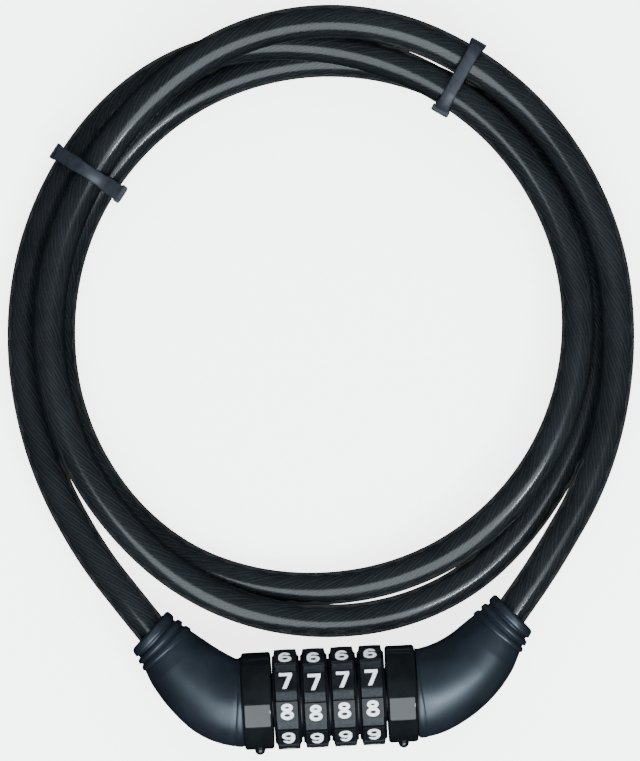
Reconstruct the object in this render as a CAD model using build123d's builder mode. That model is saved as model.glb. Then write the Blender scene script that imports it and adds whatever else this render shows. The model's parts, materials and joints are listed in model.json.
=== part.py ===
"""Cable lock with four number dials, closed, with its cable wound into a tied coil.

Frame: +X runs along the dial barrel, +Y towards the coil and +Z up. The origin is the
middle of the barrel, on the axis that the dials turn about. Millimetres.
"""

from build123d import *
import math
import os

# ---- driving dimensions ----

# The barrel that carries the dials
BARREL_HALF = 21.0
PLUG_GAP = 0.15
COLLAR_RADIUS = 11.75
COLLAR_INNER_X = 13.85
COLLAR_CAVITY_RADIUS = 9.8
COLLAR_CAVITY_DEPTH = 1.75
COLLAR_EDGE = 0.7
CORE_RADIUS = 6.5
CORE_BORE = 4.6
SLOT_WIDTH = 2.4
KEYWAY_WIDTH = 2.8
KEYWAY_RADIUS = 8.8

# The dials
DIAL_COUNT = 4
DIAL_PITCH = 6.85
DIAL_WIDTH = 6.55
DIAL_BODY_RADIUS = 10.65
DIAL_BORE = 9.6
BAND_RADIUS = 11.5
BAND_WIDTH = 5.6
BAND_EDGE = 0.35
PAD_COUNT = 10
PAD_ANGLE = 360 / PAD_COUNT
PAD_FACE_RADIUS = 11.95
PAD_WIDTH = 5.5
PAD_TOP = 4.9
PAD_BASE = 5.7
PAD_EDGE = 0.4
ZERO_ANGLE = 81.5
DIAL_PLAY = (0.0, 3.0, 1.75, 1.0)
NUMERAL_STROKE = 0.95
NUMERAL_SCALE = 0.89
NUMERAL_RELIEF = 0.1

# The gate rings inside the dials, and the washers between them
GATE_RING_BORE = 6.58
GATE_RING_START = 0.2
GATE_RING_WIDTH = 2.9
GATE_WIDTH = 2.8
WASHER_RADIUS = 9.4
WASHER_THICKNESS = 0.4

# The plug
PLUG_RADIUS = 4.52
PLUG_TIP_X = -14.5
PLUG_SEAT = 5.0
PLUG_NOSE = 1.6
STUD_OFFSET = -1.7
STUD_LENGTH = 1.6
STUD_WIDTH = 2.0
STUD_FOOT = 3.0
STUD_RADIUS = 8.4

# Pins. The two index pins mark the code line, at this angle from +Z towards -Y
CODE_LINE_ANGLE = 83.0
INDEX_PIN_X = 17.4
INDEX_PIN_RADIUS = 1.3
INDEX_PIN_TIP = 13.1
PLUG_LOCK_PIN_RADIUS = 0.9
FERRULE_PIN_RADIUS = 1.0

# The elbows under the rubber boots, and the cable ends in them
# The two arcs that each centreline takes as it leaves the barrel: their radii and angles
BENDS = {-1: ((12.0, 37.8), (44.9, 16.0)), 1: ((12.0, 18.2), (28.8, 33.1))}
BOOT_LENGTH = {-1: 29.5, 1: 31.6}
ELBOW_RADIUS = 5.6
ELBOW_FLANGE_RADIUS = 9.0
ELBOW_FLANGE_THICKNESS = 2.0
ELBOW_SOCKET_LENGTH = 7.0
SPIGOT_LENGTH = 5.2
FERRULE_RADIUS = 4.5
FERRULE_LENGTH = 8.0
ROPE_RADIUS = 2.5
ROPE_END_LENGTH = 7.0
# Share of the boot's length, and the boot's radius there
BOOT_PROFILE = [
    (0.0, 11.0),
    (0.08, 10.75),
    (0.17, 10.45),
    (0.33, 9.85),
    (0.5, 9.1),
    (0.65, 8.3),
    (0.75, 7.5),
    (0.82, 6.9),
    (1.0, 6.1),
]
# Each rib's distance from the boot's mouth, the radius of its ring and its own radius
BOOT_RIBS = [(0.9, 5.75, 0.8), (3.8, 6.6, 0.6), (5.9, 7.0, 0.55)]

# The cable and its two ties
CABLE_RADIUS = 4.0
LEAD_LENGTH = 16.0
COIL_CENTRE = (2.26, 90.2)
COIL_START_ANGLE = 222.0
COIL_STEP_ANGLE = 15.0
# Distance from the coil's centre and height above the barrel's axis, every 15 degrees clockwise
COIL_STATIONS = [
    # up the left side, the outermost strand
    (78.6, -2.5), (75.7, -5.0), (73.8, -7.0), (73.0, -8.0), (72.8, -8.0), (72.9, -8.0),
    # over the top, second from outside, and down the right side as the inner strand
    (73.5, -8.0), (73.1, -5.4), (70.8, -1.9), (68.3, -0.1), (66.5, 0.3), (65.2, 0.05),
    (64.4, -0.3), (63.7, -0.9), (63.4, -1.2), (63.2, -1.35), (63.2, -1.45), (63.4, -1.6),
    # along the bottom, inside
    (63.7, -2.5), (64.1, -4.0), (64.4, -6.0), (64.8, -7.8), (65.6, -8.0), (66.4, -8.0),
    # up the left side, the innermost strand
    (66.1, -8.0), (65.5, -8.0), (64.9, -8.0), (64.3, -8.0), (64.1, -8.0), (64.1, -8.0),
    # over the top, underneath, and down the right side below the other two
    (64.2, -8.0), (64.5, -8.0), (64.8, -8.0), (65.3, -8.0), (66.0, -8.0), (66.7, -8.0),
    (67.5, -8.0), (68.0, -8.0), (68.0, -8.0), (68.0, -8.0), (68.2, -8.0), (68.9, -8.0),
    # along the bottom, outside
    (70.4, -8.0), (72.5, -7.0), (73.0, -5.0), (72.6, -4.2), (71.8, -2.3), (70.3, -0.8),
    # up the left side between the other two, and on top of them
    (68.5, 0.0), (67.5, 0.0), (66.7, 0.0), (66.4, 0.0), (66.3, 0.0), (66.7, 0.0),
    # over the top as the outermost strand, and down the right side to the plug
    (68.0, 0.4), (70.2, 2.9), (72.4, 6.5), (73.8, 6.3), (74.2, 4.3), (73.8, 0.3),
    (73.4, -0.9), (72.8, -1.1), (72.8, -1.2), (72.8, -1.3), (73.9, -1.2), (76.2, -0.8),
    (79.0, -0.3),
]
# How many points of the route come before the cable's second and third lengths
SECOND_LENGTH_START = 35
TAIL_START = 62
TIE_WIDTH = 3.0
TIE_THICKNESS = 1.1
TIE_CLEARANCE = 0.3
TIE_HEAD = (4.6, 1.7, 4.2)
TIE_NIB = (4.0, 1.0, 3.4)
TIE_ROUNDING = 0.35
LEFT_TIE_ANGLE = 143.7
TOP_TIE_ANGLE = 57.8
# The turns of the coil: how many stations make up a full turn
STATIONS_PER_TURN = round(360 / COIL_STEP_ANGLE)

os.makedirs("parts", exist_ok=True)


def save(builder, node):
    """Label a finished piece and write its STEP file."""
    builder.part.label = node
    export_step(builder.part, f"parts/{node}.step")


def face_x(side):
    """Where a boot meets the barrel: side is -1 for the left end and 1 for the plug end."""
    return side * BARREL_HALF + (PLUG_GAP if side > 0 else 0)


def bend_length(side):
    return sum(radius * math.radians(angle) for radius, angle in BENDS[side])


def boot_plane(side, distance):
    """The plane across a boot's centreline, that far from the barrel, facing the cable."""
    x, y, turn = 0.0, 0.0, 0.0
    for radius, angle in BENDS[side]:
        step = min(distance, radius * math.radians(angle))
        start = turn
        turn += step / radius
        x += radius * (math.sin(turn) - math.sin(start))
        y += radius * (math.cos(start) - math.cos(turn))
        distance -= step
    x += distance * math.cos(turn)
    y += distance * math.sin(turn)
    return Plane(
        origin=(face_x(side) + side * x, y, 0),
        x_dir=(0, 0, 1),
        z_dir=(side * math.cos(turn), math.sin(turn), 0),
    )


def barrel_plane(x, facing=1):
    """A plane across the barrel's axis, with +Y as its first direction."""
    return Plane(origin=(x, 0, 0), x_dir=(0, 1, 0), z_dir=(facing, 0, 0))


def dial_x(index):
    return (index - (DIAL_COUNT - 1) / 2) * DIAL_PITCH


def round_the_dial(x, radius, angle):
    """A plane facing out from the barrel's axis, turned by angle from +Z towards -Y."""
    turn = math.radians(angle)
    out = Vector(0, -math.sin(turn), math.cos(turn))
    return Plane(origin=Vector(x, 0, 0) + out * radius, x_dir=(1, 0, 0), z_dir=out)


def code_line_plane(side, radius):
    """A plane across an index pin, that far from the barrel's axis."""
    return round_the_dial(side * INDEX_PIN_X, radius, CODE_LINE_ANGLE)


# ---- barrel: core tube, collars, washers, spring, clip, seal ----

with BuildPart() as core_tube:
    with BuildSketch(barrel_plane(-BARREL_HALF)):
        Circle(CORE_RADIUS)
        Circle(CORE_BORE, mode=Mode.SUBTRACT)
    extrude(amount=2 * BARREL_HALF)
    # the slot that the plug's studs slide along
    with BuildSketch(barrel_plane(-13.2)):
        with Locations((CORE_RADIUS, 0)):
            Rectangle(2 * (CORE_RADIUS - 2), SLOT_WIDTH)
    extrude(amount=BARREL_HALF + 13.2, mode=Mode.SUBTRACT)
    # the groove for the retaining clip
    with BuildSketch(barrel_plane(14.4)):
        Circle(CORE_RADIUS + 1)
        Circle(CORE_RADIUS - 0.6, mode=Mode.SUBTRACT)
    extrude(amount=0.7, mode=Mode.SUBTRACT)
    # the holes for the two index pins
    for side in (-1, 1):
        with BuildSketch(code_line_plane(side, CORE_BORE - 1)):
            Circle(INDEX_PIN_RADIUS)
        extrude(amount=CORE_RADIUS, mode=Mode.SUBTRACT)
save(core_tube, "core_tube")

for side, name in ((-1, "left_collar"), (1, "right_collar")):
    with BuildPart() as collar:
        with BuildSketch(barrel_plane(side * BARREL_HALF, -side)):
            Circle(COLLAR_RADIUS)
        extrude(amount=BARREL_HALF - COLLAR_INNER_X)
        fillet(collar.edges().filter_by(GeomType.CIRCLE), COLLAR_EDGE)
        with BuildSketch(barrel_plane(side * COLLAR_INNER_X, side)):
            Circle(COLLAR_CAVITY_RADIUS)
        extrude(amount=COLLAR_CAVITY_DEPTH, mode=Mode.SUBTRACT)
        # the hole for the core tube, with the keyway that the studs pass through
        with BuildSketch(barrel_plane(side * BARREL_HALF, -side)):
            Circle(CORE_RADIUS)
            with Locations((KEYWAY_RADIUS / 2, 0)):
                Rectangle(KEYWAY_RADIUS, KEYWAY_WIDTH)
        extrude(amount=BARREL_HALF - COLLAR_INNER_X, mode=Mode.SUBTRACT)
        with BuildSketch(code_line_plane(side, CORE_RADIUS - 1)):
            Circle(INDEX_PIN_RADIUS)
        extrude(amount=COLLAR_RADIUS, mode=Mode.SUBTRACT)
        if side > 0:
            # the groove for the seal
            with BuildSketch(barrel_plane(BARREL_HALF, -1)):
                Circle(10.7)
                Circle(9.3, mode=Mode.SUBTRACT)
            extrude(amount=1.2, mode=Mode.SUBTRACT)
    save(collar, name)

with BuildPart() as socket_seal:
    with BuildSketch(Plane.XZ):
        with Locations((BARREL_HALF - 0.6, 10.0)):
            Circle(0.6)
    revolve(axis=Axis.X)
save(socket_seal, "socket_seal")

with BuildPart() as dial_spring:
    # a dished washer: its wall leans from the collar towards the first dial
    with BuildSketch(Plane.XZ):
        with BuildLine():
            Polyline((-15.5, 6.6), (-15.1, 6.6), (-13.95, 9.5), (-14.35, 9.5), close=True)
        make_face()
    revolve(axis=Axis.X)
save(dial_spring, "dial_spring")

with BuildPart() as retaining_clip:
    with BuildSketch(barrel_plane(14.4)):
        Circle(8.6)
        Circle(CORE_RADIUS - 0.6, mode=Mode.SUBTRACT)
        with Locations((6.0, 0)):
            Rectangle(12.0, 3.4, mode=Mode.SUBTRACT)
    extrude(amount=0.7)
save(retaining_clip, "retaining_clip")

with BuildPart() as spacer_washers:
    for index in range(DIAL_COUNT - 1):
        middle = dial_x(index) + DIAL_PITCH / 2
        with BuildSketch(barrel_plane(middle - WASHER_THICKNESS / 2)):
            Circle(WASHER_RADIUS)
            Circle(CORE_RADIUS, mode=Mode.SUBTRACT)
            with Locations((WASHER_RADIUS, 0)):
                Rectangle(WASHER_RADIUS, KEYWAY_WIDTH, mode=Mode.SUBTRACT)
        extrude(amount=WASHER_THICKNESS)
save(spacer_washers, "spacer_washers")

for side, name, foot in ((-1, "left_index_pin", 2.5), (1, "right_index_pin", CORE_BORE + 0.3)):
    with BuildPart() as index_pin:
        with BuildSketch(code_line_plane(side, foot)):
            Circle(INDEX_PIN_RADIUS)
        extrude(amount=INDEX_PIN_TIP - foot)
        fillet(index_pin.edges().group_by(Axis.Y)[0], 0.7)
    save(index_pin, name)


# ---- dials, numerals and gate rings ----


def ring(centre_y, half_width, half_height):
    """An oval stroke, drawn in the sketch that is open."""
    with Locations((0, centre_y)):
        Ellipse(half_width, half_height)
        Ellipse(half_width - NUMERAL_STROKE, half_height - 0.85, mode=Mode.SUBTRACT)


def cut(x, y, width, height):
    """Take a rectangle out of the sketch that is open."""
    with Locations((x, y)):
        Rectangle(width, height, mode=Mode.SUBTRACT)


def polygon(*points, mode=Mode.ADD):
    """A straight-sided stroke, drawn in the sketch that is open."""
    Polygon(*points, align=None, mode=mode)


def draw_numeral(number):
    """A bold plain numeral 4.5 tall before it is scaled, drawn in the sketch that is open."""
    if number == 0:
        ring(0, 1.75, 2.25)
    elif number == 1:
        polygon((-0.2, -2.25), (0.85, -2.25), (0.85, 2.25), (-0.05, 2.25), (-1.1, 1.4),
                (-1.1, 0.6), (-0.2, 1.1))
    elif number == 2:
        ring(0.95, 1.7, 1.3)
        cut(-0.5, 0.15, 2.4, 1.4)
        polygon((1.66, 1.1), (0.7, 0.95), (-1.75, -1.5), (-1.75, -2.25), (1.75, -2.25),
                (1.75, -1.4), (-0.35, -1.4), (1.4, 0.25))
    elif number == 3:
        ring(1.1, 1.55, 1.15)
        ring(-0.95, 1.75, 1.3)
        cut(-1.2, 0.05, 1.9, 1.5)
    elif number == 4:
        polygon((-1.85, -1.35), (-1.85, -0.5), (0.2, 2.25), (1.3, 2.25), (1.3, -0.5), (1.85, -0.5),
                (1.85, -1.35), (1.3, -1.35), (1.3, -2.25), (0.3, -2.25), (0.3, -1.35))
        polygon((-0.75, -0.5), (0.3, -0.5), (0.3, 0.95), mode=Mode.SUBTRACT)
    elif number == 5:
        ring(-0.8, 1.75, 1.45)
        cut(-1.2, -0.55, 2.0, 0.9)
        polygon((-1.5, 2.25), (1.5, 2.25), (1.5, 1.4), (-0.7, 1.4), (-0.8, 0.6), (-0.9, 0.2),
                (-1.7, -0.1))
    elif number == 7:
        polygon((-1.75, 2.25), (1.75, 2.25), (1.75, 1.45), (0.1, -2.25), (-1.0, -2.25),
                (0.6, 1.4), (-1.75, 1.4))
    elif number == 8:
        ring(1.12, 1.55, 1.13)
        ring(-0.98, 1.75, 1.27)
    else:
        # a nine is a six turned over
        turned = 1 if number == 6 else -1
        ring(0, 1.75, 2.25)
        cut(turned * 1.0, turned * -0.6, 2.0, 3.6)
        ring(turned * -0.8, 1.75, 1.45)


for index in range(DIAL_COUNT):
    middle = dial_x(index)
    number_angle = ZERO_ANGLE + DIAL_PLAY[index]

    with BuildPart() as dial:
        with BuildSketch(barrel_plane(middle - DIAL_WIDTH / 2)):
            Circle(DIAL_BODY_RADIUS)
        extrude(amount=DIAL_WIDTH)
        chamfer(dial.edges().filter_by(GeomType.CIRCLE), 0.25)
        with BuildSketch(barrel_plane(middle - BAND_WIDTH / 2)):
            Circle(BAND_RADIUS)
        extrude(amount=BAND_WIDTH)
        chamfer(dial.edges().filter_by(lambda e: e.length > 6.28 * BAND_RADIUS), BAND_EDGE)
        for number in range(PAD_COUNT):
            angle = number_angle + number * PAD_ANGLE
            with BuildSketch(round_the_dial(middle, PAD_FACE_RADIUS - 1.6, angle)):
                Rectangle(PAD_WIDTH + 0.6, PAD_BASE)
            with BuildSketch(round_the_dial(middle, PAD_FACE_RADIUS - PAD_EDGE, angle)):
                Rectangle(PAD_WIDTH, PAD_TOP + 2 * PAD_EDGE)
            loft()
            with BuildSketch(round_the_dial(middle, PAD_FACE_RADIUS - PAD_EDGE, angle)):
                Rectangle(PAD_WIDTH, PAD_TOP + 2 * PAD_EDGE)
            with BuildSketch(round_the_dial(middle, PAD_FACE_RADIUS, angle)):
                Rectangle(PAD_WIDTH - PAD_EDGE, PAD_TOP)
            loft()
        with BuildSketch(barrel_plane(middle - DIAL_WIDTH / 2)):
            Circle(DIAL_BORE)
        extrude(amount=DIAL_WIDTH, mode=Mode.SUBTRACT)
    save(dial, f"dial_{index + 1}")

    with BuildPart() as numerals:
        for number in range(PAD_COUNT):
            angle = number_angle + number * PAD_ANGLE
            with BuildSketch(round_the_dial(middle, PAD_FACE_RADIUS, angle)):
                draw_numeral(number)
                scale(by=NUMERAL_SCALE)
            extrude(amount=NUMERAL_RELIEF)
    save(numerals, f"dial_{index + 1}_numerals")

    with BuildPart() as gate_ring:
        with BuildSketch(barrel_plane(middle + GATE_RING_START)):
            Circle(DIAL_BORE)
            Circle(GATE_RING_BORE, mode=Mode.SUBTRACT)
        extrude(amount=GATE_RING_WIDTH)
        # the gate faces the slot when zero is on the code line
        gate_angle = number_angle - CODE_LINE_ANGLE + 270
        gate = round_the_dial(middle, KEYWAY_RADIUS / 2, gate_angle)
        with BuildSketch(gate):
            Rectangle(2 * DIAL_WIDTH, GATE_WIDTH)
        extrude(amount=KEYWAY_RADIUS / 2, mode=Mode.SUBTRACT)
    save(gate_ring, f"gate_ring_{index + 1}")


# ---- the plug: pin, studs and the pin that holds it ----

with BuildPart() as plug_pin:
    with BuildSketch(barrel_plane(PLUG_TIP_X)):
        Circle(PLUG_RADIUS)
    extrude(amount=face_x(1) + PLUG_SEAT - PLUG_TIP_X)
    chamfer(plug_pin.faces().sort_by(Axis.X)[0].edges(), PLUG_NOSE)
    with BuildSketch(Plane.XZ.offset(-STUD_FOOT)):
        with Locations(*[(dial_x(i) + STUD_OFFSET, 0) for i in range(DIAL_COUNT)]):
            Rectangle(STUD_LENGTH, STUD_WIDTH)
    extrude(amount=-PLUG_RADIUS, mode=Mode.SUBTRACT)
    with BuildSketch(Plane.XY.offset(-PLUG_RADIUS)):
        with Locations((face_x(1) + PLUG_SEAT / 2, 0)):
            Circle(PLUG_LOCK_PIN_RADIUS)
    extrude(amount=2 * PLUG_RADIUS, mode=Mode.SUBTRACT)
save(plug_pin, "plug_pin")

with BuildPart() as plug_studs:
    with BuildSketch(Plane.XZ.offset(-STUD_FOOT)):
        with Locations(*[(dial_x(i) + STUD_OFFSET, 0) for i in range(DIAL_COUNT)]):
            Rectangle(STUD_LENGTH, STUD_WIDTH)
    extrude(amount=STUD_FOOT - STUD_RADIUS)
    chamfer(plug_studs.edges().group_by(Axis.Y)[-1], 0.3)
save(plug_studs, "plug_studs")

with BuildPart() as plug_lock_pin:
    with BuildSketch(Plane.XY.offset(0.3 - ELBOW_RADIUS)):
        with Locations((face_x(1) + PLUG_SEAT / 2, 0)):
            Circle(PLUG_LOCK_PIN_RADIUS)
    extrude(amount=2 * (ELBOW_RADIUS - 0.3))
save(plug_lock_pin, "plug_lock_pin")


# ---- the two ends: elbow, ferrule, rope end, ferrule pin and boot ----

for side, end in ((-1, "left"), (1, "right")):
    socket_start = bend_length(side)
    pin_distance = socket_start + FERRULE_LENGTH / 2

    with BuildPart() as elbow_form:
        bend_start = 0.0
        for radius, angle in BENDS[side]:
            section = boot_plane(side, bend_start)
            with BuildSketch(section):
                Circle(ELBOW_RADIUS)
            pivot = Axis(section.origin - section.y_dir * side * radius, (0, 0, side))
            revolve(axis=pivot, revolution_arc=angle)
            bend_start += radius * math.radians(angle)
        with BuildSketch(boot_plane(side, socket_start)):
            Circle(ELBOW_RADIUS)
        extrude(amount=ELBOW_SOCKET_LENGTH)
        with BuildSketch(boot_plane(side, 0)):
            Circle(ELBOW_FLANGE_RADIUS)
        extrude(amount=ELBOW_FLANGE_THICKNESS)

    with BuildPart() as elbow:
        add(elbow_form.part)
        with BuildSketch(boot_plane(side, socket_start)):
            Circle(FERRULE_RADIUS)
        extrude(amount=ELBOW_SOCKET_LENGTH, mode=Mode.SUBTRACT)
        ferrule_hole = Plane(origin=boot_plane(side, pin_distance).origin, z_dir=(0, 0, 1))
        with BuildSketch(ferrule_hole):
            Circle(FERRULE_PIN_RADIUS)
        extrude(amount=ELBOW_RADIUS + 1, mode=Mode.SUBTRACT)
        if side < 0:
            # the spigot that carries the core tube, with the hole for its index pin
            with BuildSketch(barrel_plane(-BARREL_HALF)):
                Circle(CORE_BORE)
            extrude(amount=SPIGOT_LENGTH)
            with BuildSketch(code_line_plane(side, 2.5)):
                Circle(INDEX_PIN_RADIUS)
            extrude(amount=CORE_RADIUS, mode=Mode.SUBTRACT)
        else:
            # the seat of the plug pin, with the hole for the pin that holds it
            with BuildSketch(barrel_plane(face_x(1))):
                Circle(PLUG_RADIUS)
            extrude(amount=PLUG_SEAT, mode=Mode.SUBTRACT)
            with BuildSketch(Plane.XY.offset(-ELBOW_FLANGE_RADIUS)):
                with Locations((face_x(1) + PLUG_SEAT / 2, 0)):
                    Circle(PLUG_LOCK_PIN_RADIUS)
            extrude(amount=2 * ELBOW_FLANGE_RADIUS, mode=Mode.SUBTRACT)
    save(elbow, f"{end}_elbow")

    with BuildPart() as ferrule:
        with BuildSketch(boot_plane(side, socket_start)):
            Circle(FERRULE_RADIUS)
        extrude(amount=FERRULE_LENGTH)
        with BuildSketch(boot_plane(side, socket_start + FERRULE_LENGTH - ROPE_END_LENGTH)):
            Circle(ROPE_RADIUS)
        extrude(amount=ROPE_END_LENGTH, mode=Mode.SUBTRACT)
        with BuildSketch(ferrule_hole.offset(ROPE_RADIUS + 0.5)):
            Circle(FERRULE_PIN_RADIUS)
        extrude(amount=FERRULE_RADIUS, mode=Mode.SUBTRACT)
    save(ferrule, f"{end}_ferrule")

    with BuildPart() as rope_end:
        with BuildSketch(boot_plane(side, socket_start + FERRULE_LENGTH - ROPE_END_LENGTH)):
            Circle(ROPE_RADIUS)
        extrude(amount=ROPE_END_LENGTH)
    save(rope_end, f"{end}_rope_end")

    with BuildPart() as ferrule_pin:
        with BuildSketch(ferrule_hole.offset(ROPE_RADIUS + 0.5)):
            Circle(FERRULE_PIN_RADIUS)
        extrude(amount=ELBOW_RADIUS - ROPE_RADIUS - 0.7)
    save(ferrule_pin, f"{end}_ferrule_pin")

    with BuildPart() as boot:
        with BuildLine():
            bend_start = 0.0
            for radius, angle in BENDS[side]:
                length = radius * math.radians(angle)
                arc = [boot_plane(side, bend_start + length * part).origin for part in (0, 0.5, 1)]
                ThreePointArc(*arc)
                bend_start += length
            Line(boot_plane(side, bend_start).origin, boot_plane(side, BOOT_LENGTH[side]).origin)
        for share, radius in BOOT_PROFILE:
            with BuildSketch(boot_plane(side, share * BOOT_LENGTH[side])):
                Circle(radius)
        sweep(multisection=True)
        for distance, ring_radius, rib_radius in BOOT_RIBS:
            with Locations(boot_plane(side, BOOT_LENGTH[side] - distance)):
                Torus(ring_radius, rib_radius)
        # the space that the elbow, the ferrule and the cable fill
        add(elbow_form.part, mode=Mode.SUBTRACT)
        for length, radius in ((FERRULE_LENGTH, FERRULE_RADIUS), (BOOT_LENGTH[side], CABLE_RADIUS)):
            with BuildSketch(boot_plane(side, socket_start)):
                Circle(radius)
            extrude(amount=length, mode=Mode.SUBTRACT)
    save(boot, f"{end}_boot")


# ---- the cable ----


def lead(side, distance):
    """A point on the line that the cable leaves a boot along, that far past the bend."""
    return boot_plane(side, bend_length(side) + distance).origin


def coil_point(index):
    radius, height = COIL_STATIONS[index]
    turn = math.radians(COIL_START_ANGLE - index * COIL_STEP_ANGLE)
    return Vector(
        COIL_CENTRE[0] + radius * math.cos(turn),
        COIL_CENTRE[1] + radius * math.sin(turn),
        height,
    )


route = [lead(-1, FERRULE_LENGTH), lead(-1, LEAD_LENGTH)]
route += [coil_point(index) for index in range(len(COIL_STATIONS))]
route += [lead(1, LEAD_LENGTH), lead(1, FERRULE_LENGTH)]


def corner_radius(before, corner, after):
    """The arc at a corner is as large as its two runs allow."""
    turn = (corner - before).get_angle(after - corner)
    shorter = min((corner - before).length, (after - corner).length)
    return 0.45 * shorter / math.tan(math.radians(turn / 2))


radii = [corner_radius(*route[i - 1 : i + 2]) for i in range(1, len(route) - 1)]
print("cable corner radii", [round(radius, 1) for radius in radii])

cable_length = 0.0
for name, first, last in (
    ("cable_turn_1", 0, SECOND_LENGTH_START),
    ("cable_turn_2", SECOND_LENGTH_START, TAIL_START),
    ("cable_tail", TAIL_START, len(route)),
):
    # a length starts and ends in the middle of a run, except at the ferrules
    points = route[first:last]
    corners = radii[max(first - 1, 0) : last - 1]
    if first > 0:
        points = [(route[first - 1] + route[first]) / 2] + points
    if last < len(route):
        points = points + [(route[last - 1] + route[last]) / 2]
    with BuildPart() as cable:
        with BuildLine() as path:
            FilletPolyline(*points, radius=corners)
        with BuildSketch(Plane(origin=points[0], z_dir=points[1] - points[0])):
            Circle(CABLE_RADIUS)
        sweep()
    save(cable, name)
    length = path.wires()[0].length
    cable_length += length
    solid_length = cable.part.volume / (math.pi * CABLE_RADIUS**2)
    print(name, "length", round(length, 1), "and from its volume", round(solid_length, 1))
print("cable length", round(cable_length, 1))


# ---- the ties ----


def strand_centre(index, angle):
    """Where a strand passes an angle that is nearest to the coil's station of that index."""
    before, here, after = (coil_point(index + step) for step in (-1, 0, 1))
    start, end = (before + here) / 2, (here + after) / 2
    station_angle = COIL_START_ANGLE - index * COIL_STEP_ANGLE
    part = 0.5 + (station_angle - angle) / COIL_STEP_ANGLE
    return start * (1 - part) ** 2 + here * 2 * part * (1 - part) + end * part**2


def tie(name, angle):
    """A strap round the coil's three strands, with its head inside the coil and a nib outside."""
    turn = math.radians(angle)
    radial = Vector(math.cos(turn), math.sin(turn), 0)
    across = Plane(
        origin=Vector(*COIL_CENTRE, 0),
        x_dir=radial,
        z_dir=Vector(math.sin(turn), -math.cos(turn), 0),
    )
    first = round((COIL_START_ANGLE - angle) / COIL_STEP_ANGLE)
    strands = []
    for coil_turn in range(3):
        index = first + coil_turn * STATIONS_PER_TURN
        centre = strand_centre(index, angle - coil_turn * 360)
        flat = across.to_local_coords(centre)
        strands.append((flat.X, flat.Y))
    inner = min(x for x, _ in strands) - CABLE_RADIUS - TIE_CLEARANCE - TIE_THICKNESS
    outer = max(x for x, _ in strands) + CABLE_RADIUS + TIE_CLEARANCE + TIE_THICKNESS
    inner_height = min(strands)[1]
    outer_height = max(strands)[1]
    with BuildPart() as strap:
        with BuildSketch(across.offset(-TIE_WIDTH / 2)):
            for place in strands:
                with Locations(place):
                    Circle(CABLE_RADIUS + TIE_CLEARANCE + TIE_THICKNESS)
            make_hull()
        extrude(amount=TIE_WIDTH)
        for size, x, height in ((TIE_HEAD, inner, inner_height), (TIE_NIB, outer, outer_height)):
            with BuildSketch(across.offset(-size[0] / 2)):
                with Locations((x, height)):
                    RectangleRounded(size[1], size[2], TIE_ROUNDING)
            extrude(amount=size[0])
        with BuildSketch(across.offset(-TIE_HEAD[0])):
            for place in strands:
                with Locations(place):
                    Circle(CABLE_RADIUS + TIE_CLEARANCE)
            make_hull()
        extrude(amount=2 * TIE_HEAD[0], mode=Mode.SUBTRACT)
    save(strap, name)


tie("left_tie", LEFT_TIE_ANGLE)
tie("top_tie", TOP_TIE_ANGLE)
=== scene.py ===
"""Cable lock with four number dials and a tied coil: its looks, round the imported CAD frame.

Metres, in the CAD's frame: +X runs along the dial barrel, +Y towards the coil, +Z up.
"""

import json
import math

import bmesh
import bpy
import numpy as np
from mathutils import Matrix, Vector


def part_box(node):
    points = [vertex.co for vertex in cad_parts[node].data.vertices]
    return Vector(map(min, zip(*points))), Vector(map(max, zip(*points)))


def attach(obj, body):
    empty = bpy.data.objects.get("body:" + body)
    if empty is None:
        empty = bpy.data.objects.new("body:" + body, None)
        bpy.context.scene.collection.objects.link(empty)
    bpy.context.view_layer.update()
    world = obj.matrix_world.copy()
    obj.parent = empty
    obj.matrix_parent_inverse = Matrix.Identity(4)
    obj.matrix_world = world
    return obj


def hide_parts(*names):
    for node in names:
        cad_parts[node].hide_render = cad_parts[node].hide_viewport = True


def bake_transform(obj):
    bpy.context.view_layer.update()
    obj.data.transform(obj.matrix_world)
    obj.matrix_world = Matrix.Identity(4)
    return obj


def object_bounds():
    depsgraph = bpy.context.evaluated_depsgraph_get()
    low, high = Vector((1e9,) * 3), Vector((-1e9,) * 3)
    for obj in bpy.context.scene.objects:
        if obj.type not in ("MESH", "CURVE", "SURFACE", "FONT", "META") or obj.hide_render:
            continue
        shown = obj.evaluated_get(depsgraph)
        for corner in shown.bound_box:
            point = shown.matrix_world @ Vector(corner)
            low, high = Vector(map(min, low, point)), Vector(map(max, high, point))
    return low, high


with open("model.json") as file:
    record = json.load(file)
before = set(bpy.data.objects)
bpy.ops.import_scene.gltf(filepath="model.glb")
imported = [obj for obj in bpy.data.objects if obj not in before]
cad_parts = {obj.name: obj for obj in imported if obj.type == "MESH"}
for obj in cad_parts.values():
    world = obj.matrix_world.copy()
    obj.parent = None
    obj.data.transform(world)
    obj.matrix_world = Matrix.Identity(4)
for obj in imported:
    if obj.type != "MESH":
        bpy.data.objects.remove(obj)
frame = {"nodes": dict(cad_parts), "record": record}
cad_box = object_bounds()

MM = 0.001

# ---- sizes, as in the CAD, in millimetres ----

# The two arcs that each boot's centreline takes as it leaves the barrel: radius and angle
BENDS = {-1: ((12.0, 37.8), (44.9, 16.0)), 1: ((12.0, 18.2), (28.8, 33.1))}
BOOT_LENGTH = {-1: 29.5, 1: 31.6}
FERRULE_LENGTH = 8.0
LEAD_LENGTH = 16.0
CABLE_RADIUS = 4.0
COIL_CENTRE = (2.26, 90.2)
COIL_START_ANGLE = 222.0
COIL_STEP_ANGLE = 15.0
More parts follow.
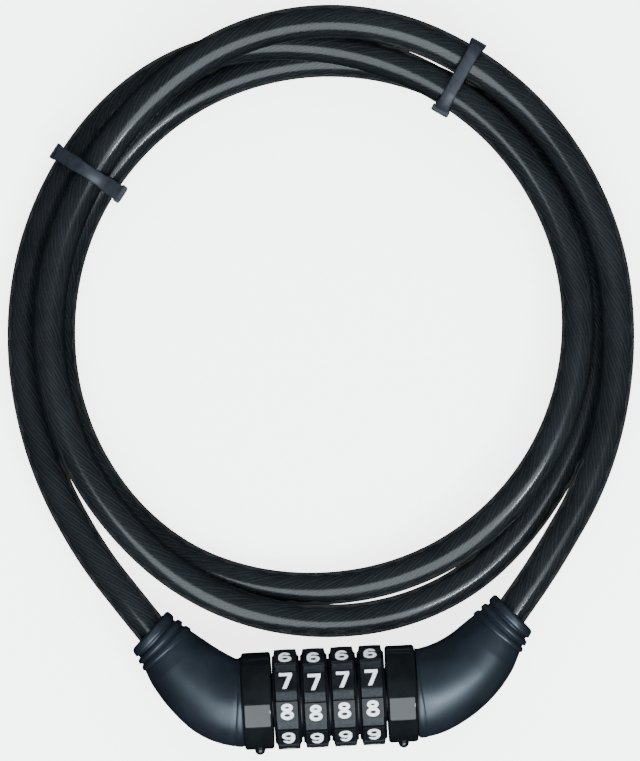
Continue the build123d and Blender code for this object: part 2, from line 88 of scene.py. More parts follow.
# Distance from the coil's centre and height above the barrel's axis, every 15 degrees clockwise
COIL_STATIONS = [
    # up the left side, the outermost strand
    (78.6, -2.5), (75.7, -5.0), (73.8, -7.0), (73.0, -8.0), (72.8, -8.0), (72.9, -8.0),
    # over the top, second from outside, and down the right side as the inner strand
    (73.5, -8.0), (73.1, -5.4), (70.8, -1.9), (68.3, -0.1), (66.5, 0.3), (65.2, 0.05),
    (64.4, -0.3), (63.7, -0.9), (63.4, -1.2), (63.2, -1.35), (63.2, -1.45), (63.4, -1.6),
    # along the bottom, inside
    (63.7, -2.5), (64.1, -4.0), (64.4, -6.0), (64.8, -7.8), (65.6, -8.0), (66.4, -8.0),
    # up the left side, the innermost strand
    (66.1, -8.0), (65.5, -8.0), (64.9, -8.0), (64.3, -8.0), (64.1, -8.0), (64.1, -8.0),
    # over the top, underneath, and down the right side below the other two
    (64.2, -8.0), (64.5, -8.0), (64.8, -8.0), (65.3, -8.0), (66.0, -8.0), (66.7, -8.0),
    (67.5, -8.0), (68.0, -8.0), (68.0, -8.0), (68.0, -8.0), (68.2, -8.0), (68.9, -8.0),
    # along the bottom, outside
    (70.4, -8.0), (72.5, -7.0), (73.0, -5.0), (72.6, -4.2), (71.8, -2.3), (70.3, -0.8),
    # up the left side between the other two, and on top of them
    (68.5, 0.0), (67.5, 0.0), (66.7, 0.0), (66.4, 0.0), (66.3, 0.0), (66.7, 0.0),
    # over the top as the outermost strand, and down the right side to the plug
    (68.0, 0.4), (70.2, 2.9), (72.4, 6.5), (73.8, 6.3), (74.2, 4.3), (73.8, 0.3),
    (73.4, -0.9), (72.8, -1.1), (72.8, -1.2), (72.8, -1.3), (73.9, -1.2), (76.2, -0.8),
    (79.0, -0.3),
]
TAIL_START = 62
LEFT_TIE_ANGLE = 143.7
TOP_TIE_ANGLE = 57.8

DIAL_COUNT = 4
DIAL_PITCH = 6.85
DIAL_HALF = 3.275
DIAL_BORE = 9.62
DIAL_BODY_RADIUS = 10.65
DIAL_CHAMFER = 0.25
BAND_FOOT_HALF = 2.9
BAND_FOOT_RISE = 0.05
BAND_HALF = 2.5
PAD_HALF = 2.6
BAND_RADIUS = 11.5
PAD_COUNT = 10
PAD_ANGLE = 360 / PAD_COUNT
PAD_HALF_ANGLE = 11.7
PAD_FACE_RADIUS = 11.95
ZERO_ANGLE = 81.5
DIAL_PLAY = (0.0, 3.0, 1.75, 1.0)

COLLAR_RADIUS = 11.75
COLLAR_INNER_X = 13.85
COLLAR_OUTER_X = 21.0
COLLAR_EDGE = 0.7
COLLAR_SIDES = 144
COLLAR_RECESS_RADIUS = 9.8
COLLAR_RECESS_DEPTH = 1.75
SEAL_GROOVE_OUTER = 10.7
SEAL_GROOVE_INNER = 9.3
SEAL_GROOVE_DEPTH = 1.2
CORE_RADIUS = 6.52
KEYWAY_RADIUS = 8.8
KEYWAY_HALF_WIDTH = 1.4
CODE_LINE_ANGLE = 83.0
INDEX_PIN_X = 17.4
INDEX_PIN_RADIUS = 1.3
INDEX_PIN_TIP = 13.1

LEFT_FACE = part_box("left_boot")[1].x
RIGHT_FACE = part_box("right_boot")[0].x


# ---- camera, as the photograph was taken: from straight above, turned a little ----

CAMERA_HEIGHT = 0.9
VIEW_HEIGHT = 0.1845
VIEW_CENTRE = (0.00158, 0.0768)
VIEW_TURN = math.radians(-2.9)
SENSOR_HEIGHT = 36.0

camera_data = bpy.data.cameras.new("camera")
camera_data.sensor_fit = "VERTICAL"
camera_data.sensor_height = SENSOR_HEIGHT
camera_data.lens = SENSOR_HEIGHT * CAMERA_HEIGHT / VIEW_HEIGHT
camera = bpy.data.objects.new("camera", camera_data)
camera.location = (*VIEW_CENTRE, CAMERA_HEIGHT)
camera.rotation_euler = (0, 0, VIEW_TURN)
bpy.context.scene.collection.objects.link(camera)
bpy.context.scene.camera = camera


# ---- mesh helpers ----


def new_object(name, vertices, faces, smooth_angle=None):
    """A mesh object in the scene, smooth-shaded except across edges sharper than the angle."""
    mesh = bpy.data.meshes.new(name)
    mesh.from_pydata([tuple(v) for v in vertices], [], faces)
    mesh.validate()
    work = bmesh.new()
    work.from_mesh(mesh)
    bmesh.ops.recalc_face_normals(work, faces=work.faces)
    work.to_mesh(mesh)
    work.free()
    obj = bpy.data.objects.new(name, mesh)
    bpy.context.scene.collection.objects.link(obj)
    if smooth_angle is not None:
        mesh.shade_smooth()
        mesh.set_sharp_from_angle(angle=math.radians(smooth_angle))
    return obj


def grid_faces(rows, columns, first=0, close_rows=False, close_columns=True):
    """The faces of a grid of points stored row by row, closed round either way if asked."""
    faces = []
    for i in range(rows if close_rows else rows - 1):
        for j in range(columns if close_columns else columns - 1):
            a, b = first + i * columns, first + (i + 1) % rows * columns
            k = (j + 1) % columns
            faces.append((a + j, a + k, b + k, b + j))
    return faces


def bevel(obj, width, segments=2, angle=25):
    """Round an object's sharp edges, and keep its flats flat."""
    modifier = obj.modifiers.new("rounded_edges", "BEVEL")
    modifier.width = width
    modifier.segments = segments
    modifier.limit_method = "ANGLE"
    modifier.angle_limit = math.radians(angle)
    modifier.harden_normals = True
    return obj


def block(name, centre, directions, sizes, rounding):
    """A rounded block, with its three directions and its sizes along them."""
    vertices = []
    for a in (-1, 1):
        for b in (-1, 1):
            for c in (-1, 1):
                offset = zip((a, b, c), directions, sizes)
                vertices.append(centre + sum((d * s * n / 2 for n, d, s in offset), Vector()))
    faces = [(0, 1, 3, 2), (4, 6, 7, 5), (0, 4, 5, 1), (2, 3, 7, 6), (0, 2, 6, 4), (1, 5, 7, 3)]
    return bevel(new_object(name, vertices, faces, 40), rounding, 3)


# ---- materials ----


class Look:
    """A Principled material, and the nodes that vary it, in the object's own millimetres."""

    def __init__(self, name, colour, roughness, **values):
        self.material = bpy.data.materials.new(name)
        self.material.use_nodes = True
        self.nodes = self.material.node_tree.nodes
        self.links = self.material.node_tree.links
        self.shader = self.nodes["Principled BSDF"]
        self.shader.inputs["Base Color"].default_value = (*colour, 1)
        self.shader.inputs["Roughness"].default_value = roughness
        for key, value in values.items():
            self.shader.inputs[key.replace("_", " ").title().replace("Ior", "IOR")].default_value = value
        self.heights = []

    def place(self, source="Object"):
        return self.nodes.new("ShaderNodeTexCoord").outputs[source]

    def noise(self, scale, detail=3.0, stretch=(1, 1, 1)):
        """Noise with that many cells to the metre."""
        mapping = self.nodes.new("ShaderNodeMapping")
        mapping.inputs["Scale"].default_value = stretch
        self.links.new(self.place(), mapping.inputs["Vector"])
        texture = self.nodes.new("ShaderNodeTexNoise")
        texture.inputs["Scale"].default_value = scale
        texture.inputs["Detail"].default_value = detail
        self.links.new(mapping.outputs["Vector"], texture.inputs["Vector"])
        return texture.outputs["Fac"]

    def ramp(self, value, low, high, start=0.3, end=0.7):
        ramp = self.nodes.new("ShaderNodeValToRGB")
        ramp.color_ramp.elements[0].position = start
        ramp.color_ramp.elements[0].color = (*low, 1)
        ramp.color_ramp.elements[1].position = end
        ramp.color_ramp.elements[1].color = (*high, 1)
        self.links.new(value, ramp.inputs["Fac"])
        return ramp.outputs["Color"]

    def vary_colour(self, value, low, high, start=0.3, end=0.7):
        self.links.new(self.ramp(value, low, high, start, end), self.shader.inputs["Base Color"])
        return self

    def vary_roughness(self, value, low, high):
        span = self.nodes.new("ShaderNodeMapRange")
        span.inputs["To Min"].default_value = low
        span.inputs["To Max"].default_value = high
        self.links.new(value, span.inputs["Value"])
        self.links.new(span.outputs["Result"], self.shader.inputs["Roughness"])
        return self

    def bump(self, value, depth, strength=1.0):
        """Add relief that is depth metres deep."""
        bump = self.nodes.new("ShaderNodeBump")
        bump.inputs["Distance"].default_value = depth
        bump.inputs["Strength"].default_value = strength
        self.links.new(value, bump.inputs["Height"])
        if self.heights:
            self.links.new(self.heights[-1], bump.inputs["Normal"])
        self.heights.append(bump.outputs["Normal"])
        self.links.new(bump.outputs["Normal"], self.shader.inputs["Normal"])
        return self


def boot_rubber():
    look = Look("boot_rubber", (0.008, 0.0105, 0.015), 0.4, specular_ior_level=0.74)
    look.vary_colour(look.noise(160, 4), (0.006, 0.008, 0.0115), (0.0105, 0.014, 0.02))
    look.shader.inputs["Specular Tint"].default_value = (0.8, 0.9, 1.0, 1)
    look.vary_roughness(look.noise(420), 0.36, 0.46)
    look.bump(look.noise(5200, 2), 0.00003, 0.35)
    return look.material


def gloss_black(name):
    look = Look(name, (0.006, 0.007, 0.0075), 0.06, specular_ior_level=0.4)
    look.vary_colour(look.noise(240), (0.005, 0.006, 0.0065), (0.008, 0.0095, 0.0105))
    look.vary_roughness(look.noise(700), 0.05, 0.1)
    look.bump(look.noise(260, 1), 0.00002, 0.1)
    return look.material


def dial_plastic():
    look = Look("dial_black_plastic", (0.006, 0.0067, 0.0085), 0.3, specular_ior_level=0.22)
    look.vary_colour(look.noise(350, 4), (0.004, 0.0047, 0.006), (0.009, 0.0102, 0.013))
    look.vary_roughness(look.noise(900), 0.26, 0.38)
    look.bump(look.noise(4200, 2), 0.00002, 0.25)
    return look.material


def textured_plastic():
    """The finely stippled band between a dial's pads."""
    look = Look("dial_band_texture", (0.03, 0.033, 0.042), 0.6)
    look.vary_colour(look.noise(2600, 3), (0.007, 0.0085, 0.0105), (0.028, 0.034, 0.042))
    look.vary_roughness(look.noise(1500), 0.5, 0.7)
    look.bump(look.noise(2600, 3), 0.00008, 0.9)
    return look.material


def white_paint():
    look = Look("numeral_white", (0.95, 0.96, 0.97), 0.45)
    look.vary_colour(look.noise(900, 3), (0.92, 0.93, 0.94), (0.97, 0.98, 0.99))
    look.bump(look.noise(5000, 2), 0.00001, 0.3)
    return look.material


def jacket_vinyl():
    look = Look("cable_jacket", (0.008, 0.0095, 0.011), 0.19, alpha=0.92, specular_ior_level=0.34)
    look.vary_colour(look.noise(90, 2), (0.0065, 0.0078, 0.009), (0.0105, 0.0125, 0.0145))
    look.vary_roughness(look.noise(260), 0.15, 0.25)
    look.bump(look.noise(110, 2), 0.0002, 0.1)
    return look.material


def rope_wire():
    """Twisted steel wire: the mesh's U runs across its wires, one unit for each."""
    look = Look("rope_steel", (0.3, 0.33, 0.3), 0.5, metallic=0.2, specular_ior_level=0.3)
    parts = look.nodes.new("ShaderNodeSeparateXYZ")
    look.links.new(look.place("UV"), parts.inputs["Vector"])
    turns = look.nodes.new("ShaderNodeMath")
    turns.operation = "MULTIPLY"
    turns.inputs[1].default_value = math.tau
    look.links.new(parts.outputs["X"], turns.inputs[0])
    wave = look.nodes.new("ShaderNodeMath")
    wave.operation = "SINE"
    look.links.new(turns.outputs["Value"], wave.inputs[0])
    height = look.nodes.new("ShaderNodeMapRange")
    height.inputs["From Min"].default_value = -1.0
    look.links.new(wave.outputs["Value"], height.inputs["Value"])
    # painted shade and light: the colour is dark in the grooves between the wires and pale on their
    # crowns
    look.vary_colour(height.outputs["Result"], (0.04, 0.045, 0.05), (0.8, 0.86, 0.9), 0.1, 0.9)
    look.vary_roughness(look.noise(500), 0.45, 0.65)
    look.bump(height.outputs["Result"], 0.0001, 0.8)
    return look.material


def tie_rubber(name):
    look = Look(name, (0.019, 0.023, 0.031), 0.48)
    look.vary_colour(look.noise(500, 4), (0.014, 0.017, 0.0225), (0.026, 0.031, 0.042))
    look.vary_roughness(look.noise(900), 0.45, 0.62)
    look.bump(look.noise(4500, 2), 0.00003, 0.4)
    return look.material


def metal(name, colour, roughness, grain):
    """Machined or cast metal with a grain of that many cells to the metre."""
    look = Look(name, colour, roughness, metallic=1.0)
    darker = tuple(0.8 * c for c in colour)
    look.vary_colour(look.noise(grain, 3), darker, colour)
    look.vary_roughness(look.noise(2 * grain), roughness - 0.07, roughness + 0.1)
    look.bump(look.noise(3 * grain, 2), 0.00002, 0.3)
    return look.material


def floor_paint():
    look = Look("floor", (0.93, 0.93, 0.93), 0.9)
    look.vary_colour(look.noise(6, 2), (0.925, 0.925, 0.925), (0.935, 0.935, 0.935))
    look.shader.inputs["Emission Color"].default_value = (1, 1, 1, 1)
    look.shader.inputs["Emission Strength"].default_value = 3.4
    return look.material


LOOKS = {
    "boot_rubber": boot_rubber(),
    "collar_gloss_black": gloss_black("collar_gloss_black"),
    "index_pin_black": gloss_black("index_pin_black"),
    "dial_black_plastic": dial_plastic(),
    "numeral_white": white_paint(),
    "cable_jacket": jacket_vinyl(),
    "rope_steel": rope_wire(),
    "tie_rubber": tie_rubber("tie_rubber"),
    "seal_rubber": tie_rubber("seal_rubber"),
    "die_cast_zinc": metal("die_cast_zinc", (0.5, 0.51, 0.53), 0.42, 900),
    "ferrule_brass": metal("ferrule_brass", (0.66, 0.5, 0.24), 0.3, 1100),
    "gate_ring_brass": metal("gate_ring_brass", (0.3, 0.22, 0.1), 0.35, 1300),
    "core_steel": metal("core_steel", (0.09, 0.092, 0.1), 0.4, 1200),
    "pin_steel": metal("pin_steel", (0.56, 0.57, 0.59), 0.26, 1400),
}


def dress(obj, slot):
    """Give a piece the look of a material slot."""
    obj.data.materials.clear()
    obj.data.materials.append(LOOKS[slot])
    return obj


BAND_LOOK = textured_plastic()

slot_of = {row["node"]: row["material_slot"] for row in frame["record"]["subparts"]}
for node, obj in frame["nodes"].items():
    dress(obj, slot_of[node])
# the washers between the dials are painted dark steel, painted shade so that the gaps between the dials
# look dark
gap_shade_steel = metal("gap_shade_steel", (0.07, 0.072, 0.078), 0.45, 1200)
frame["nodes"]["spacer_washers"].data.materials[0] = gap_shade_steel


# ---- the cable ----


def bend_length(side):
    return sum(radius * math.radians(angle) for radius, angle in BENDS[side])


def boot_frame(side, distance):
    """A point on a boot's centreline that far from the barrel, and how far it has turned there."""
    x, y, turn = 0.0, 0.0, 0.0
    for radius, angle in BENDS[side]:
        step = min(distance, radius * math.radians(angle))
        start = turn
        turn += step / radius
        x += radius * (math.sin(turn) - math.sin(start))
        y += radius * (math.cos(start) - math.cos(turn))
        distance -= step
    x += distance * math.cos(turn)
    y += distance * math.sin(turn)
    face = LEFT_FACE if side < 0 else RIGHT_FACE
    return Vector((face + side * x * MM, y * MM, 0)), turn


def coil_point(index):
    radius, height = COIL_STATIONS[index]
    turn = math.radians(COIL_START_ANGLE - index * COIL_STEP_ANGLE)
    x = COIL_CENTRE[0] + radius * math.cos(turn)
    y = COIL_CENTRE[1] + radius * math.sin(turn)
    return Vector((x, y, height)) * MM


def lead(side, distance):
    return boot_frame(side, bend_length(side) + distance)[0]


route = [lead(-1, FERRULE_LENGTH), lead(-1, LEAD_LENGTH)]
route += [coil_point(index) for index in range(len(COIL_STATIONS))]
route += [lead(1, LEAD_LENGTH), lead(1, FERRULE_LENGTH)]
parting = (route[TAIL_START - 1] + route[TAIL_START]) / 2
main_route = route[:TAIL_START] + [parting]
tail_route = [parting] + route[TAIL_START:]


def nurbs(name, points):
    """A curve of one smooth spline with those control points."""
    data = bpy.data.curves.new(name, "CURVE")
    data.dimensions = "3D"
    data.resolution_u = 12
    spline = data.splines.new("NURBS")
    spline.points.add(len(points) - 1)
    for point, place in zip(spline.points, points):
        point.co = (*place, 1)
    spline.order_u = 3
    spline.use_endpoint_u = True
    return bpy.data.objects.new(name, data)


def read_line(points):
    """The points along the smooth curve of a route."""
    curve = nurbs("route", points)
    mesh = bpy.data.meshes.new_from_object(curve)
    line = np.array([v.co for v in mesh.vertices], float)
    bpy.data.meshes.remove(mesh)
    bpy.data.objects.remove(curve)
    return line


def frames_along(line, step):
    """Points that far apart, how far along each is, and two directions across that don't spin."""
    gaps = np.linalg.norm(np.diff(line, axis=0), axis=1)
    along = np.concatenate([[0], np.cumsum(gaps)])
    at = np.linspace(0, along[-1], math.ceil(along[-1] / step) + 1)
    places = np.stack([np.interp(at, along, line[:, k]) for k in range(3)], axis=1)
    forward = np.gradient(places, axis=0)
    forward /= np.linalg.norm(forward, axis=1)[:, None]
    side = np.cross(forward[0], (0, 0, 1))
    sides = []
    for direction in forward:
        side = side - direction * (side @ direction)
        side /= np.linalg.norm(side)
        sides.append(side)
    sides = np.array(sides)
    return places, at, sides, np.cross(sides, forward)


def tube(name, places, sides, ups, radius, around):
    """A closed tube along a line."""
    angles = np.arange(around) / around * math.tau
    cos, sin = np.cos(angles)[None, :, None], np.sin(angles)[None, :, None]
    ring = cos * sides[:, None] + sin * ups[:, None]
    vertices = (places[:, None] + radius * ring).reshape(-1, 3)
    faces = grid_faces(len(places), around)
    last = (len(places) - 1) * around
    faces += [tuple(range(around)), tuple(last + i for i in range(around))]
    return new_object(name, vertices, faces, 60)


ROPE_STRANDS = 6
STRAND_RADIUS = 1.15
STRAND_OFFSET = 2.25
ROPE_LAY = 34.0
WIRES = 7
WIRE_LAY = 11.0
STRAND_SIDES = 8


def wire_rope(name, line, start_along):
    """Six strands laid round the cable's centre. U counts the wires, so that they twist."""
    places, along, sides, ups = frames_along(line, 1.3 * MM)
    along = along / MM + start_along
    vertices, faces, wires = [], [], []
    for strand in range(ROPE_STRANDS):
        turn = math.tau * (strand / ROPE_STRANDS + along / ROPE_LAY)
        out = np.cos(turn)[:, None] * sides + np.sin(turn)[:, None] * ups
        across = -np.sin(turn)[:, None] * sides + np.cos(turn)[:, None] * ups
        centre = places + STRAND_OFFSET * MM * out
        first = len(vertices) * len(places) * STRAND_SIDES
        angles = np.arange(STRAND_SIDES) / STRAND_SIDES * math.tau
        cos, sin = np.cos(angles)[None, :, None], np.sin(angles)[None, :, None]
        ring = cos * out[:, None] + sin * across[:, None]
        vertices.append((centre[:, None] + STRAND_RADIUS * MM * ring).reshape(-1, 3))
        faces += grid_faces(len(places), STRAND_SIDES, first)
        last = first + (len(places) - 1) * STRAND_SIDES
        faces += [tuple(start + i for i in range(STRAND_SIDES)) for start in (first, last)]
        wires.append((WIRES * angles[None, :] / math.tau + along[:, None] / WIRE_LAY).reshape(-1))
    obj = new_object(name, np.concatenate(vertices), faces, 60)
    wires = np.concatenate(wires)
    layer = obj.data.uv_layers.new(name="wires")
    corner = np.zeros(len(obj.data.loops), int)
    obj.data.loops.foreach_get("vertex_index", corner)
    u = wires[corner]
    # across a strand's seam the count starts again, so the corner past it is one round further on
    for face in obj.data.polygons:
        loops = list(face.loop_indices)
        highest = u[loops].max()
        for loop in loops:
            if len(loops) == 4 and highest - u[loop] > WIRES / 2:
                u[loop] += WIRES
    uv = np.stack([u, np.zeros(len(u))], axis=1)
    layer.data.foreach_set("uv", uv.reshape(-1).astype(np.float32))
    return dress(obj, "rope_steel")


main_line = read_line(main_route)
tail_line = read_line(tail_route)
main_length = np.linalg.norm(np.diff(main_line, axis=0), axis=1).sum()

cable = nurbs("cable", main_route)
cable.data.bevel_depth = CABLE_RADIUS * MM
cable.data.bevel_resolution = 7
cable.data.use_fill_caps = True
bpy.context.scene.collection.objects.link(cable)
dress(cable, "cable_jacket")
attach(cable, "lock")
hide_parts("cable_turn_1", "cable_turn_2")
rope = wire_rope("cable_wire_rope", main_line, 0.0)
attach(rope, "lock")

places, _, sides, ups = frames_along(tail_line, 1.5 * MM)
tail = dress(tube("cable_last_length", places, sides, ups, CABLE_RADIUS * MM, 32), "cable_jacket")
tail_rope = wire_rope("cable_last_wire_rope", tail_line, main_length / MM)
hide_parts("cable_tail")
# the last length runs from the top tie, which holds it, to the plug, and is left on no body
for piece in (tail, tail_rope):
    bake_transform(piece)


# ---- the straps that tie the coil ----

TIE_WIDTH = 3.1
TIE_FLARE = 1.0
TIE_THICKNESS = 1.1
TIE_CLEARANCE = 0.3
TIE_ROUNDING = 0.28
TIE_STEPS = 120
TIE_TOOTH = 0.08
TIE_BLOCK_OFFSET = 0.7
# Along the cable, out from the coil's middle, and up
TIE_HEAD = (4.6, 1.5, 4.2)
TIE_HEAD_LIP = (3.4, 2.0, 1.5)
TIE_LIP_RISE = 1.1
TIE_TAIL = (4.2, 1.0, 3.4)


def crossings(radial, forward, middle):
    """Where the coil's strands pass a straight line out from the middle: how far out, how high."""
    offset = main_line - np.array(middle)
    ahead = offset @ np.array(forward)
    out = offset @ np.array(radial)
    found = []
    for i in range(len(main_line) - 1):
        if ahead[i] * ahead[i + 1] < 0 and out[i] > 0:
            share = ahead[i] / (ahead[i] - ahead[i + 1])
            place = main_line[i] * (1 - share) + main_line[i + 1] * share
            found.append(((place - np.array(middle)) @ np.array(radial), place[2]))
    return found


def strap(name, angle, node):
    """A strap pulled tight round the coil's strands, with its head inside and its tail outside."""
    turn = math.radians(angle)
    radial = Vector((math.cos(turn), math.sin(turn), 0))
    forward = Vector((math.sin(turn), -math.cos(turn), 0))
    middle = Vector((*COIL_CENTRE, 0)) * MM
    strands = crossings(radial, forward, middle)
    reach = (CABLE_RADIUS + TIE_CLEARANCE) * MM
    thick, corner = TIE_THICKNESS * MM, TIE_ROUNDING * MM
    vertices = []
    for step in range(TIE_STEPS):
        a = math.tau * step / TIE_STEPS
        away = (math.cos(a), math.sin(a))
        x, z = max(strands, key=lambda c: c[0] * away[0] + c[1] * away[1])
        # the strap is wider where it turns round the coil's two sides, and toothed outside
        half = (TIE_WIDTH + TIE_FLARE * away[0] ** 4) * MM / 2
        top = thick + TIE_TOOTH * MM * (step % 2)
        section = [(-half, corner), (-half + corner, 0), (half - corner, 0), (half, corner),
                   (half, top - corner), (half - corner, top), (-half + corner, top),
                   (-half, top - corner)]
        for across, depth in section:
            r = reach + depth
            place = middle + radial * (x + r * away[0]) + forward * across
            vertices.append(place + Vector((0, 0, z + r * away[1])))
    band = new_object(name, vertices, grid_faces(TIE_STEPS, len(section), close_rows=True), 50)
    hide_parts(node)
    up = Vector((0, 0, 1))
    directions = (forward, radial, up)
    inner, outer = min(strands), max(strands)
    inside = middle + radial * (inner[0] - reach - TIE_BLOCK_OFFSET * thick) + up * inner[1]
    outside = middle + radial * (outer[0] + reach + TIE_BLOCK_OFFSET * thick) + up * outer[1]
    head = block(f"{name}_head", inside, directions, [n * MM for n in TIE_HEAD], 0.4 * MM)
    lip = block(f"{name}_head_lip", inside + up * TIE_LIP_RISE * MM, directions,
                [n * MM for n in TIE_HEAD_LIP], 0.3 * MM)
    tail_end = block(f"{name}_tail", outside, directions, [n * MM for n in TIE_TAIL], 0.3 * MM)
    pieces = [band, head, lip, tail_end]
    for piece in pieces:
        dress(piece, "tie_rubber")
        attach(piece, "lock")
    return pieces


ties = strap("left_strap", LEFT_TIE_ANGLE, "left_tie")
ties += strap("top_strap", TOP_TIE_ANGLE, "top_tie")


# ---- the rubber boots ----

# Share of the boot's length, and its radius there without its ribs
BOOT_OUTSIDE = [(0.0, 10.75), (0.012, 11.0), (0.035, 10.95), (0.042, 10.78), (0.05, 10.86),
                (0.08, 10.75), (0.17, 10.45), (0.33, 9.85), (0.5, 9.1), (0.65, 8.3), (0.75, 7.5),
                (0.82, 6.85), (0.9, 6.15), (1.0, 5.75)]
# How far each rib's middle is from the mouth, half its width and its height
BOOT_RIBS = [(1.2, 1.15, 0.65), (3.75, 0.8, 0.75), (5.85, 0.75, 0.5)]
# The hollow for the elbow and the cable: distance from the mouth or the barrel, and radius
BOOT_MOUTH_HOLLOW = [(0.0, 4.5), (0.3, 4.05), (4.0, 4.05), (4.1, 5.2)]
BOOT_BARREL_HOLLOW = [(12.0, 5.6), (2.0, 5.62), (2.0, 9.02), (0.0, 9.02)]
BOOT_LIP_POINTS = 6
BOOT_LAST_STEPS = 0.03
MOUTH_TILT = math.radians(9.0)
MOUTH_SHIFT = 0.45
MOUTH_BEND_START = 0.66
BOOT_STEP = 0.2
BOOT_SIDES = 80


def boot_radius(side, distance):
    """The outside of a boot, with its ribs, at a distance from the barrel."""
    length = BOOT_LENGTH[side]
    radius = float(np.interp(distance / length, *zip(*BOOT_OUTSIDE)))
    for middle, half, height in BOOT_RIBS:
        off = abs(length - middle - distance) / half
        if off < 1:
            radius += height * (1 - off**4) ** 0.5
    return radius


def boot(name, side, body, node):
    """A rubber boot: its ribbed outside, and the hollow in it for the elbow and the cable."""
    length = BOOT_LENGTH[side]
    steps = [share * length for share, _ in BOOT_OUTSIDE[:BOOT_LIP_POINTS]]
    steps += list(np.arange(steps[-1] + BOOT_STEP, length - BOOT_LAST_STEPS, BOOT_STEP)) + [length]
    loop = [(d, boot_radius(side, d)) for d in steps]
    loop += [(length - d, r) for d, r in BOOT_MOUTH_HOLLOW] + BOOT_BARREL_HOLLOW
    vertices = []
    for distance, radius in loop:
        place, turn = boot_frame(side, distance)
        # near its mouth the boot leans a little out from the cable
        share = min(max((distance / length - MOUTH_BEND_START) / (1 - MOUTH_BEND_START), 0), 1)
        lean = share * share * (3 - 2 * share)
        turn -= MOUTH_TILT * lean
        across = Vector((-side * math.sin(turn), math.cos(turn), 0))
        place = place - across * MOUTH_SHIFT * lean * MM
        for i in range(BOOT_SIDES):
            a = math.tau * i / BOOT_SIDES
            vertices.append(place + (across * math.cos(a) + Vector((0, 0, math.sin(a)))) * radius * MM)
    obj = new_object(name, vertices, grid_faces(len(loop), BOOT_SIDES, close_rows=True), 40)
    dress(obj, "boot_rubber")
    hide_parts(node)
    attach(obj, body)


boot("left_rubber_boot", -1, "lock", "left_boot")
boot("right_rubber_boot", 1, "plug", "right_boot")


# ---- the collars and the index pins ----

def collar(name, side, node):
    """A round collar with rounded edges, bored for the core tube and with the studs' keyway."""
    corner = [COLLAR_EDGE * (1 - math.cos(math.radians(a))) for a in range(0, 91, 15)]
    rise = [COLLAR_EDGE * (1 - math.sin(math.radians(a))) for a in range(0, 91, 15)]
    recess_end = COLLAR_INNER_X + COLLAR_RECESS_DEPTH
    section = [(recess_end, COLLAR_RECESS_RADIUS), (COLLAR_INNER_X, COLLAR_RECESS_RADIUS)]
    section += [(COLLAR_INNER_X + c, COLLAR_RADIUS - r) for c, r in zip(corner, rise)]
    section += [(COLLAR_OUTER_X - c, COLLAR_RADIUS - r) for c, r in zip(corner[::-1], rise[::-1])]
    if side > 0:
        groove_end = COLLAR_OUTER_X - SEAL_GROOVE_DEPTH
        section += [(COLLAR_OUTER_X, SEAL_GROOVE_OUTER), (groove_end, SEAL_GROOVE_OUTER),
                    (groove_end, SEAL_GROOVE_INNER), (COLLAR_OUTER_X, SEAL_GROOVE_INNER)]
    first_of_bore = len(section)
    section += [(COLLAR_OUTER_X, 0.0), (recess_end, 0.0)]
    slot_edge = math.asin(KEYWAY_HALF_WIDTH / CORE_RADIUS)
    key_edge = math.asin(KEYWAY_HALF_WIDTH / KEYWAY_RADIUS)
    columns = [(a, KEYWAY_RADIUS) for a in np.linspace(-key_edge, key_edge, 5)]
    columns += [(a, CORE_RADIUS) for a in np.linspace(slot_edge, math.tau - slot_edge, COLLAR_SIDES)]
    vertices = []
    for angle, bore in columns:
        out = Vector((0, math.cos(angle), math.sin(angle)))
        for i, (x, r) in enumerate(section):
            radius = bore if i >= first_of_bore else r
            vertices.append((Vector((side * x, 0, 0)) + out * radius) * MM)
    faces = grid_faces(len(columns), len(section), close_rows=True)
    obj = dress(new_object(name, vertices, faces, 35), "collar_gloss_black")
    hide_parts(node)
    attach(obj, "lock")


def index_pin(name, side, node):
    """A round pin with a domed tip, standing out of its collar on the code line."""
    turn = math.radians(CODE_LINE_ANGLE)
    out = Vector((0, -math.sin(turn), math.cos(turn)))
    across = Vector((0, math.cos(turn), math.sin(turn)))
    dome = [math.radians(a) for a in range(0, 90, 12)]
    section = [(CORE_RADIUS + 0.1, INDEX_PIN_RADIUS), (COLLAR_RADIUS - 0.15, INDEX_PIN_RADIUS)]
    section += [(INDEX_PIN_TIP - INDEX_PIN_RADIUS * (1 - math.sin(a)), INDEX_PIN_RADIUS * math.cos(a))
                for a in dome]
    sides = 32
    vertices = []
    for height, radius in section:
        for i in range(sides):
            a = math.tau * i / sides
            rim = Vector((math.cos(a), 0, 0)) + across * math.sin(a)
            vertices.append((Vector((side * INDEX_PIN_X, 0, 0)) + out * height + rim * radius) * MM)
    last = (len(section) - 1) * sides
    faces = grid_faces(len(section), sides)
    faces += [tuple(range(sides)), tuple(last + i for i in range(sides))]
    obj = dress(new_object(name, vertices, faces, 40), "index_pin_black")
    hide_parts(node)
    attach(obj, "lock")


for side, end in ((-1, "left"), (1, "right")):
    collar(f"{end}_end_collar", side, f"{end}_collar")
    index_pin(f"{end}_code_pin", side, f"{end}_index_pin")


# ---- the dials ----


def dial_middle(index):
    return (index - (DIAL_COUNT - 1) / 2) * DIAL_PITCH


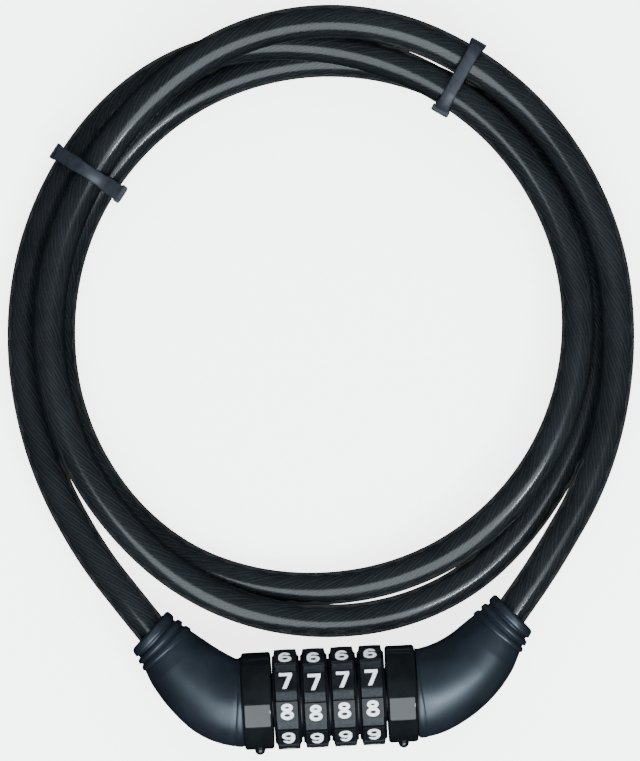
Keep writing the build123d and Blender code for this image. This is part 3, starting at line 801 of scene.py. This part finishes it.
def dial(index):
    """A dial: a ring with a raised band, whose pads carry the numerals on flat faces."""
    first = ZERO_ANGLE + DIAL_PLAY[index]
    columns = []
    for pad in range(PAD_COUNT):
        middle = first + pad * PAD_ANGLE
        for offset in (-1, -0.5, 0, 0.5, 1):
            a = offset * PAD_HALF_ANGLE
            columns.append((middle + a, PAD_FACE_RADIUS / math.cos(math.radians(a)), True))
        for offset in (0.7, 3.2, 6.3, 9.4, 11.9):
            columns.append((middle + PAD_HALF_ANGLE + offset, BAND_RADIUS, False))
    vertices = []
    for angle, radius, on_pad in columns:
        a = math.radians(angle)
        out = Vector((0, -math.sin(a), math.cos(a)))
        half = PAD_HALF if on_pad else BAND_HALF
        rim, foot = DIAL_BODY_RADIUS - DIAL_CHAMFER, DIAL_BODY_RADIUS + BAND_FOOT_RISE
        section = [(-DIAL_HALF, DIAL_BORE), (-DIAL_HALF, rim),
                   (-DIAL_HALF + DIAL_CHAMFER, DIAL_BODY_RADIUS), (-BAND_FOOT_HALF, foot),
                   (-half, radius), (half, radius), (BAND_FOOT_HALF, foot),
                   (DIAL_HALF - DIAL_CHAMFER, DIAL_BODY_RADIUS), (DIAL_HALF, rim),
                   (DIAL_HALF, DIAL_BORE)]
        for x, r in section:
            vertices.append((Vector((dial_middle(index) + x, 0, 0)) + out * r) * MM)
    faces = grid_faces(len(columns), len(section), close_rows=True)
    name = f"dial_{index + 1}_shell"
    obj = new_object(name, vertices, faces, 30)
    dress(obj, "dial_black_plastic")
    # the band between the pads is textured, so it is the second material
    obj.data.materials.append(BAND_LOOK)
    top = section.index((-half, radius))
    for face in obj.data.polygons:
        rows = {v // len(section) for v in face.vertices}
        places = {v % len(section) for v in face.vertices}
        if places == {top, top + 1} and not any(columns[row][2] for row in rows):
            face.material_index = 1
    bevel(obj, 0.12 * MM, 2, 28)
    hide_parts(f"dial_{index + 1}")
    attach(obj, f"dial_{index + 1}")


for index in range(DIAL_COUNT):
    dial(index)


# ---- floor and lights ----

FLOOR_HALF = 4.0
floor_corners = [(FLOOR_HALF * x, FLOOR_HALF * y, cad_box[0].z)
                 for x, y in ((-1, -1), (1, -1), (1, 1), (-1, 1))]
floor = new_object("floor", floor_corners, [(0, 1, 2, 3)])
floor.data.materials.append(floor_paint())
# the floor is bright by itself, so it lights and reflects in nothing
floor.visible_glossy = False
floor.visible_diffuse = False


def softbox(name, lean_x, lean_y, distance, width, height, power, reflected=True):
    """A soft light that leans from straight above towards +X and +Y, in degrees."""
    data = bpy.data.lights.new(name, "AREA")
    data.shape = "RECTANGLE"
    data.size = width
    data.size_y = height
    data.energy = power
    data.color = (0.86, 0.95, 1.0)
    light = bpy.data.objects.new(name, data)
    lean = (math.tan(math.radians(lean_x)), math.tan(math.radians(lean_y)), 1)
    direction = Vector(lean).normalized()
    light.location = Vector((0, 0.05, 0)) + direction * distance
    light.rotation_euler = direction.to_track_quat("Z", "Y").to_euler()
    light.visible_camera = False
    light.visible_glossy = reflected
    bpy.context.scene.collection.objects.link(light)


softbox("main_softbox", 0, -35, 0.9, 0.85, 0.9, 16)
softbox("small_lamp", 28, -28, 0.9, 0.1, 0.1, 3.0)
softbox("fill_softbox", 8, 45, 1.2, 1.4, 1.0, 16, reflected=False)
softbox("ceiling", 0, 0, 2.6, 3.4, 3.4, 3)

world = bpy.data.worlds.new("studio")
world.use_nodes = True
world.node_tree.nodes["Background"].inputs["Color"].default_value = (0.95, 0.97, 1.0, 1)
world.node_tree.nodes["Background"].inputs["Strength"].default_value = 0.4
world.cycles_visibility.glossy = False
bpy.context.scene.world = world
